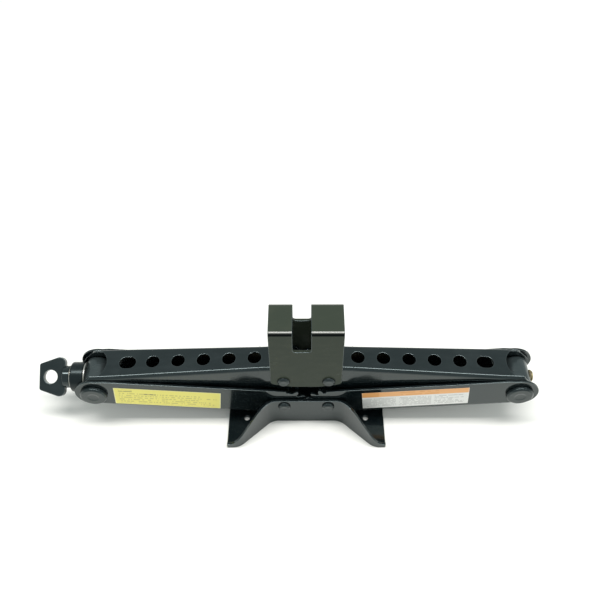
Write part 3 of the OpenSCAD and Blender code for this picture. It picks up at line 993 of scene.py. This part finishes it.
@dataclass
class Saddle:
    """The slotted saddle that meets the vehicle's sill, with its pins and spacers."""

    def build(self, palette: Palette) -> None:
        """Builds the saddle and its pins."""
        # The saddle's top bends carry a painted highlight with a painted shade under it.
        bends = (palette.bend_painted_highlight, palette.bend_painted_shade)
        plate = PressedPart("saddle", Body.SADDLE, 0.4 * MM, 3)
        plate.build(palette.saddle_enamel_painted_sheen, palette.edge_enamel_painted_highlight_and_chips, bends)
        Rivets("saddle", Body.SADDLE).build(palette)


@dataclass
class Trunnions:
    """The two cross barrels: one carries the thrust bearing, the other the nut."""

    bore: float = 5.55 * MM
    barrel: float = 11.5 * MM
    barrel_half: float = 13.0 * MM
    flat_half: float = 13.35 * MM
    journal: float = 9.0 * MM
    head_thickness: float = 3.6 * MM
    cutter_half: float = 0.06
    block: tuple[float, float] = (0.04, 0.08)

    def build(self, palette: Palette) -> None:
        """Builds both trunnions."""
        self._one("bearing_trunnion", Body.LEFT_TRUNNION, palette)
        self._one("nut_trunnion", Body.RIGHT_TRUNNION, palette)

    def _one(self, node: str, body: Body, palette: Palette) -> None:
        """Builds one trunnion as a barrel and two heads.

        Args:
            node: The frame node that it stands for.
            body: The body that it rides on.
            palette: The materials.
        """
        span = Span.of(node, 1)
        settle(dress(self._barrel(node, span), palette.barrel_enamel_painted_sheen), body, Slot.BLACK, node)
        for name, side in (("front", -1), ("rear", 1)):
            place = along_y(span.x, span.z, side)
            head = lathe(f"{node}_{name}_head", self._head_profile(span), place, 96, self._stakes(span, side))
            settle(dress(head, palette.rivet_enamel), body, Slot.BLACK)

    def _barrel(self, node: str, span: Span) -> Object:
        """The barrel and journals, bored for the screw and cut flat behind the bearing."""
        b, r, j, far = self.barrel_half, self.barrel, self.journal, self.cutter_half
        e = span.high - self.head_thickness + 0.05 * MM
        corners = [(0, -e), (j, -e), (j, -b), (r, -b), (r, b), (j, b), (j, e), (0, e)]
        soft = [0, 0, 0, 0.5 * MM, 0.5 * MM, 0, 0, 0]
        blank = lathe(node + "_blank", rounded(corners, soft, 3), along_y(span.x, span.z), 96)
        bore = [(0, -far), (self.bore, -far), (self.bore, far), (0, far)]
        cuts = [lathe("bore", bore, along_x(span.x, span.z), 64)]
        if span.x < 0:
            deep, tall = self.block
            cube = bmesh.new()
            bmesh.ops.create_cube(cube, size=1)
            flat = Matrix.Translation((Span.of("thrust_race").high - deep / 2, 0, span.z))
            cube.transform(flat @ Matrix.Diagonal((deep, 2 * self.flat_half, tall, 1)))
            cuts.append(from_bmesh("flat", cube))
        for cut in cuts:
            boolean = blank.modifiers.new("cut", "BOOLEAN")
            boolean.operation, boolean.solver, boolean.object = "DIFFERENCE", "EXACT", cut
        made = plain_copy(blank, node + "_barrel")
        for extra in (blank, *cuts):
            bpy.data.objects.remove(extra)
        smooth_by_angle(made, 30)
        return made

    def _head_profile(self, span: Span) -> list[Point]:
        """The upset head outside the lower ear, with a flat face and a shallow dished middle."""
        hi, r = span.high, span.radius
        lo = hi - self.head_thickness
        corners = [(0, lo), (r - 0.1 * MM, lo), (r, lo + 0.6 * MM), (r - 0.2 * MM, hi - 1.1 * MM),
                   (r - 1.5 * MM, hi - 0.05 * MM), (5.2 * MM, hi - 0.05 * MM),
                   (4.0 * MM, hi - 0.35 * MM), (0, hi - 0.5 * MM)]
        return rounded(corners, [0, 0.1 * MM, 0.6 * MM, 1.0 * MM, 0.9 * MM, 0.9 * MM, 1.0 * MM, 0], 6)

    @staticmethod
    def _stakes(span: Span, side: int) -> Callable[[Vector], float]:
        """Small staking dimples on a head's face."""
        spots = [(math.radians(a) * side, 8.4 * MM, 0.9 * MM) for a in (-165.0, -30.0, 80.0)]

        def depth(point: Vector) -> float:
            """How far the face is pressed in at a local point."""
            if point.z < span.high - 0.6 * MM:
                return 0.0
            gaps = [math.hypot(point.x - reach * math.cos(a), point.y - reach * math.sin(a)) / size
                    for a, reach, size in spots]
            return sum(0.5 * MM * math.exp(-gap * gap) for gap in gaps)

        return depth


@dataclass
class ThrustStack:
    """The bearing between the left trunnion and the hub: race, balls, collar and cup."""

    bore: float = 5.6 * MM
    ball_circle: float = 9.0 * MM
    balls: int = 12
    wall: float = 1.3 * MM

    def build(self, palette: Palette) -> None:
        """Builds the stack.

        Args:
            palette: The materials.
        """
        race = ring_on("thrust_race", self.bore, 0.35 * MM)
        settle(dress(race, palette.zinc), Body.LEFT_TRUNNION, Slot.ZINC, "thrust_race")
        settle(self._balls(palette), Body.SCREW, Slot.ZINC, "thrust_balls")
        settle(dress(self._collar(), palette.zinc), Body.SCREW, Slot.ZINC, "thrust_collar")
        settle(dress(self._cup(), palette.cup_enamel), Body.SCREW, Slot.BLACK, "thrust_cup")

    def _balls(self, palette: Palette) -> Object:
        """A ring of balls, instanced around a circle."""
        span = Span.of("thrust_balls")
        tree = GeometryTree("ball_ring", Balls=self.balls, Circle=self.ball_circle,
                            Ball=(span.high - span.low) / 2, Place=Vector((span.x, 0, span.z)))
        circle = tree.node("GeometryNodeMeshCircle", {"fill_type": "NONE"},
                           {"Vertices": "Balls", "Radius": "Circle"})
        ball = tree.node("GeometryNodeMeshUVSphere", sockets={"Segments": 24, "Rings": 14, "Radius": "Ball"})
        ring_of = tree.node("GeometryNodeInstanceOnPoints", sockets={"Points": circle, "Instance": ball})
        whole = tree.moved(ring_of, place="Place", turn=(0, math.pi / 2, 0))
        return tree.mesh("thrust_ball_ring", whole, palette.zinc)

    def _collar(self) -> Object:
        """The collar that the balls run on, chamfered towards the cup's closed end."""
        span = Span.of("thrust_collar")
        lo, hi, r, b = span.low, span.high, span.radius, self.bore
        corners = [(b, hi), (r, hi), (r, lo + 2.1 * MM), (r - 2.1 * MM, lo), (b, lo), (b, hi)]
        profile = rounded(corners, [0, 0.3 * MM, 0.6 * MM, 0.4 * MM, 0, 0])
        return lathe("thrust_collar_piece", profile, along_x(0, span.z))

    def _cup(self) -> Object:
        """The pressed cup over the balls, with a round shoulder and a curled lip."""
        span = Span.of("thrust_cup")
        lo, hi, r, b, w = span.low, span.high - 0.03 * MM, span.radius, self.bore, self.wall
        corners = [(r - w, hi), (r, hi), (r, lo), (9.0 * MM, lo), (b, lo), (b, lo + w),
                   (r - w, lo + w), (r - w, hi)]
        profile = rounded(corners, [0, 0.45 * MM, 3.3 * MM, 0, 0.2 * MM, 0.2 * MM, 2.0 * MM, 0], 8)
        return lathe("thrust_cup_piece", profile, along_x(0, span.z), 96)


@dataclass
class ScrewDrive:
    """The lead screw with its rolled thread, and the hub and eye that turn it."""

    thread_start: float = -186.0 * MM
    plain_end: float = 1.3 * MM
    pitch: float = 3.0 * MM
    crest: float = 5.47 * MM
    core: float = 4.55 * MM
    foot_width: float = 2.3 * MM
    crest_width: float = 1.15 * MM
    eye_tilt: float = 35.0
    bead_count: int = 7
    bead_span: float = 11.5 * MM
    bead_size: float = 1.5 * MM

    def build(self, palette: Palette) -> None:
        """Builds the drive.

        Args:
            palette: The materials.
        """
        span = Span.of("lead_screw")
        settle(self._thread(span, palette), Body.SCREW, Slot.YELLOW_ZINC, "lead_screw")
        end = lathe("screw_end", self._end_profile(span.high), along_x(0, span.z), 64)
        settle(dress(end, palette.yellow), Body.SCREW, Slot.YELLOW_ZINC)
        washer = ring_on("hub_washer", 5.6 * MM, 0.3 * MM)
        settle(dress(washer, palette.zinc), Body.SCREW, Slot.ZINC, "hub_washer")
        PressedPart("drive_hub", Body.SCREW, 1.3 * MM, 5).build(palette.enamel, palette.enamel)
        PressedPart("drive_eye", Body.SCREW, 0.55 * MM, 3).build(palette.enamel, palette.edge_enamel_painted_highlight_and_chips)
        settle(self._weld(palette), Body.SCREW, Slot.BLACK)

    def _thread(self, span: Span, palette: Palette) -> Object:
        """A trapezoidal thread swept along a helix, on a plain core."""
        length = span.high - self.plain_end - self.thread_start
        tree = GeometryTree("rolled_thread", Turns=length / self.pitch, Length=length, Core=self.core,
                            Crest=self.crest, Place=Vector((self.thread_start, 0, span.z)))
        spiral = tree.node("GeometryNodeCurveSpiral", sockets={
            "Resolution": 30, "Rotations": "Turns", "Height": "Length",
            "Start Radius": "Core", "End Radius": "Core"})
        spiral = tree.node("GeometryNodeSetCurveNormal", {"mode": "Z_UP"}, {"Curve": spiral})
        section = self._profile(tree, tree.maths("SUBTRACT", "Crest", "Core"))
        sweep = tree.node("GeometryNodeCurveToMesh", sockets={"Curve": spiral, "Profile Curve": section})
        core_length = tree.maths("ADD", "Length", self.plain_end)
        core_radius = tree.maths("ADD", "Core", 0.04 * MM)
        rod = tree.node("GeometryNodeMeshCylinder", {"fill_type": "NGON"},
                        {"Vertices": 64, "Radius": core_radius, "Depth": core_length})
        rod = tree.moved(rod, place=tree.xyz(z=tree.maths("MULTIPLY", "Length", 0.5)))
        whole = tree.moved(tree.joined(sweep, rod), place="Place", turn=(0, math.pi / 2, 0))
        return tree.mesh("lead_screw_thread", whole, palette.thread)

    def _profile(self, tree: GeometryTree, depth: Socket) -> Socket:
        """The thread's section: a trapezoid with its foot below the core."""
        box = tree.node("GeometryNodeCurvePrimitiveQuadrilateral", {"mode": "TRAPEZOID"}, {
            "Height": depth, "Bottom Width": self.foot_width, "Top Width": self.crest_width, "Offset": 0.0})
        place = tree.xyz(x=tree.maths("MULTIPLY", depth, -0.5))
        return tree.moved(box, place=place, turn=(0, 0, math.pi / 2))

    def _end_profile(self, end: float) -> list[Point]:
        """The plain staked end of the screw, beyond the nut."""
        start = end - self.plain_end
        corners = [(0, start), (4.9 * MM, start), (4.9 * MM, end - 0.7 * MM), (4.2 * MM, end - 0.02 * MM),
                   (1.6 * MM, end - 0.02 * MM), (0.9 * MM, end - 0.5 * MM), (0, end - 0.7 * MM)]
        return rounded(corners, [0, 0.4 * MM, 0.3 * MM, 0.3 * MM, 0.3 * MM, 0.2 * MM, 0])

    def _weld(self, palette: Palette) -> Object:
        """Ripples of weld along both faces of the eye plate where it meets the hub."""
        hub = Span.of("drive_hub")
        tree = GeometryTree("weld_beads", Count=self.bead_count, Span=self.bead_span, Size=self.bead_size,
                            Seed=5, Place=Vector((hub.low - 0.2 * MM, 0, hub.z)), Off=3.1 * MM)
        half = tree.maths("MULTIPLY", "Span", 0.5)
        ends = {"Start Location": tree.xyz(y=tree.maths("MULTIPLY", half, -1.0)), "Offset": tree.xyz(y=half)}
        line = tree.node("GeometryNodeMeshLine", {"mode": "END_POINTS"}, {"Count": "Count", **ends})
        blob = tree.node("GeometryNodeMeshIcoSphere", sockets={"Radius": "Size", "Subdivisions": 3})
        rough = tree.node("ShaderNodeTexNoise", sockets={"Scale": 700.0, "Detail": 1.0})
        swell = tree.maths("MULTIPLY_ADD", rough, 0.7 * MM, -0.35 * MM)
        push = tree.node("ShaderNodeVectorMath", {"operation": "SCALE"},
                         {0: tree.node("GeometryNodeInputNormal"), "Scale": swell})
        blob = tree.node("GeometryNodeSetPosition", sockets={"Geometry": blob, "Offset": push})
        size = tree.node("FunctionNodeRandomValue", {"data_type": "FLOAT"},
                         {2: 0.75, 3: 1.1, "Seed": "Seed"}, out=1)
        beads = tree.node("GeometryNodeInstanceOnPoints",
                          sockets={"Points": line, "Instance": blob, "Scale": size})
        lift = tree.xyz(z="Off")
        drop = tree.node("ShaderNodeVectorMath", {"operation": "SCALE"}, {0: lift, "Scale": -1.0})
        pair = tree.joined(tree.moved(beads, place=lift), tree.moved(beads, place=drop))
        tilted = tree.moved(pair, turn=(math.radians(self.eye_tilt), 0, 0))
        return tree.mesh("hub_weld", tree.moved(tilted, place="Place"), palette.rivet_enamel)


@dataclass
class Labels:
    """The data label on the left arm, and the caution label on the right arm."""

    tilt: float = math.radians(5.6)

    def build(self) -> None:
        """Builds the print of the three films on the frame's own label shapes."""
        self._film("data_label", Print.FINE_ROWS, (0.84, 0.76, 0.17), (0.10, 0.09, 0.05), -1)
        self._film("caution_label", Print.COLUMNS, (0.80, 0.80, 0.77), (0.34, 0.34, 0.33), 1)
        self._film("caution_heading", Print.HEADING, (0.84, 0.42, 0.16), (0.60, 0.25, 0.05), 1)

    def _film(self, node: str, kind: Print, film: Colour, ink: Colour, side: int) -> None:
        """Finishes one film.

        Args:
            node: The label's frame node.
            kind: What is printed on it.
            film: The film's colour.
            ink: The ink's colour.
            side: -1 on the left arm and 1 on the right arm.
        """
        turn = self.tilt * side
        cos, sin = math.cos(turn), math.sin(turn)
        points = [v.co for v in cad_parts[node].data.vertices]
        along = [p.x * cos + p.z * sin for p in points]
        up = [p.z * cos - p.x * sin for p in points]
        a, u = (min(along) + max(along)) / 2, (min(up) + max(up)) / 2
        measured = (max(along) - min(along), max(up) - min(up))
        centre = (a * cos - u * sin, a * sin + u * cos)
        made = PrintedFilm(node + "_print", kind, film, ink, centre, turn, measured).make()
        dress(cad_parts[node], made)
        log.info("%s: print laid on %.1f x %.1f mm", node, measured[0] / MM, measured[1] / MM)


# ---------------------------------------------------------------------- studio


@dataclass
class Studio:
    """Camera, lights and floor."""

    pitch: float = 50.48
    azimuth: float = 0.61
    roll: float = -0.6
    distance: float = 542.05 * MM
    target_x: float = -4.65 * MM
    target_z: float = 145.45 * MM
    lens: float = 42.878
    sensor: float = 36.0
    air: Colour = (0.92, 1.0, 1.0)
    air_strength: float = 0.64
    floor_half: float = 4.0

    def build(self) -> None:
        """Builds the studio."""
        self._camera()
        self._lights()
        self._floor()
        scene = bpy.context.scene
        scene.view_settings.view_transform = "Standard"

    def _camera(self) -> None:
        """Stands the camera in front of the jack, looking down on it."""
        p, a, r = (math.radians(v) for v in (self.pitch, self.azimuth, self.roll))
        forward = Vector((-math.sin(a) * math.cos(p), math.cos(a) * math.cos(p), -math.sin(p)))
        level = Vector((math.cos(a), math.sin(a), 0.0))
        upright = level.cross(forward)
        right = level * math.cos(r) + upright * math.sin(r)
        up = upright * math.cos(r) - level * math.sin(r)
        data = bpy.data.cameras.new("camera")
        data.sensor_width = self.sensor
        data.lens = self.lens
        camera = added("camera", data)
        turn = Matrix((right, up, -forward)).transposed().to_4x4()
        place = Vector((self.target_x, 0.0, self.target_z)) - forward * self.distance
        camera.matrix_world = Matrix.Translation(place) @ turn
        bpy.context.scene.camera = camera

    def _lights(self) -> None:
        """Lights the air evenly, and hangs a long strip overhead and a small fill at the right."""
        world = bpy.data.worlds.new("studio_air")
        world.use_nodes = True
        sockets = world.node_tree.nodes["Background"].inputs
        sockets[0].default_value = (*self.air, 1.0)
        sockets[1].default_value = self.air_strength
        bpy.context.scene.world = world
        self._area("overhead_strip", (0.0, 0.08, 1.6), (0.0, 0.0, 0.03), (1.9, 0.30), 27.0)
        self._area("side_fill", (1.5, -0.9, 1.5), (0.0, 0.0, 0.05), (0.5, 0.5), 4.0)

    @staticmethod
    def _area(name: str, place: Sequence[float], aim: Sequence[float], size: tuple[float, float],
              power: float) -> None:
        """Hangs one area light.

        Args:
            name: The light's name.
            place: Where it hangs.
            aim: What it points at.
            size: Its width and height.
            power: Its power in watts.
        """
        data = bpy.data.lights.new(name, "AREA")
        data.shape = "RECTANGLE"
        data.size, data.size_y = size
        data.energy = power
        lamp = added(name, data)
        away = Vector(place) - Vector(aim)
        lamp.matrix_world = Matrix.Translation(place) @ away.to_track_quat("Z", "Y").to_matrix().to_4x4()

    def _floor(self) -> None:
        """Lays the plain floor."""
        shape = bmesh.new()
        bmesh.ops.create_grid(shape, x_segments=1, y_segments=1, size=self.floor_half)
        floor = from_bmesh("studio_floor", shape)
        floor.data.materials.append(StudioFloor().make())


def main() -> None:
    """Builds every sub-assembly in order, then the studio."""
    logging.basicConfig(level=logging.INFO, format="%(name)s %(message)s")
    palette = Palette()
    for part in (Base(), Arms(), Saddle(), Trunnions(), ThrustStack(), ScrewDrive()):
        log.info("building %s", type(part).__name__)
        part.build(palette)
    Labels().build()
    Studio().build()


if __name__ == "__main__":
    main()
